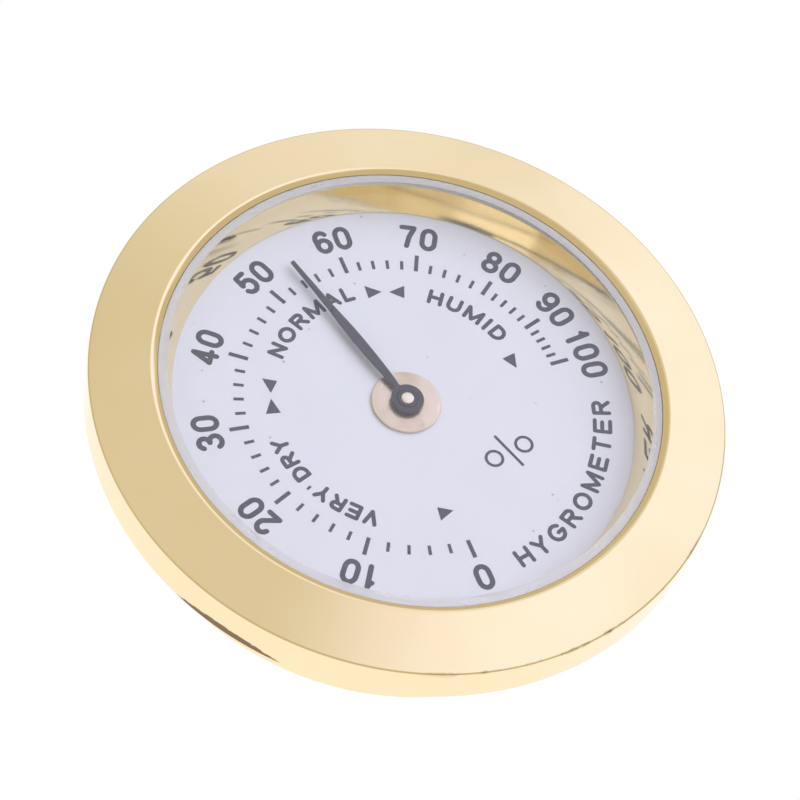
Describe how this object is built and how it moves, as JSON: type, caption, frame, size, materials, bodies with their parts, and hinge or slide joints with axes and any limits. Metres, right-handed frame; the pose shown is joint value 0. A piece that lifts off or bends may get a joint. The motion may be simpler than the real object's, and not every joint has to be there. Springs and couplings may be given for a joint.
{
  "type": "dial hygrometer",
  "caption": "Round insert hygrometer: polished metal flange and sleeve, clear lens, printed humidity dial, and a pointer turned by a spiral sensing coil; vented back with calibration screw.",
  "frame": {"origin": "centre of the outer box, on the dial's axis", "axes": "-Y is the way the dial faces, +Y points out of the back, +Z is 12 o'clock and +X is 3 o'clock; the instrument stands upright, as it is read"},
  "size_m": [0.037, 0.008, 0.037],
  "materials": {
    "polished_gold": "mirror-polished gold-coloured plate",
    "clear_lens": "clear, smooth, with a ground edge",
    "dial_white": "smooth white paint, slightly cool",
    "dial_ink": "printed slate-grey ink",
    "black_plastic": "matte moulded",
    "satin_brass": "satin",
    "copper": "fine satin copper",
    "steel": "bright",
    "coil_strip": "thin metal strip with a humidity-sensitive film",
    "black_lacquer": "semi-gloss black"
  },
  "bodies": {
    "case": {"front_bezel": "polished_gold", "lens": "clear_lens", "reflector_ring": "polished_gold", "dial_plate": "dial_white", "dial_clamp_ring": "black_plastic", "rear_cover": "satin_brass"},
    "movement": {"centre_bush": "copper", "friction_washer": "steel", "movement_plate": "satin_brass", "movement_bridge": "satin_brass", "bridge_rivet_upper": "steel", "bridge_rivet_lower": "steel", "calibration_screw": "satin_brass", "coil_stud": "satin_brass", "coil_wedge": "steel", "sensing_coil": "coil_strip"},
    "pointer": {"arbor": "satin_brass", "coil_collet": "satin_brass", "pointer_hub": "black_lacquer", "pointer": "black_lacquer"}
  },
  "joints": [
    {"name": "calibration_turn", "type": "hinge", "parent": "case", "child": "movement", "pos_m": [0, 0, 0], "axis": [0, 1, 0], "range_deg": [-25, 25]},
    {"name": "pointer_turn", "type": "hinge", "parent": "movement", "child": "pointer", "pos_m": [0, 0, 0], "axis": [0, 1, 0], "range_deg": [-163.9, 104.3], "stiffness_Nm_per_rad": 0.00002, "deforming": ["sensing_coil"]}
  ]
}
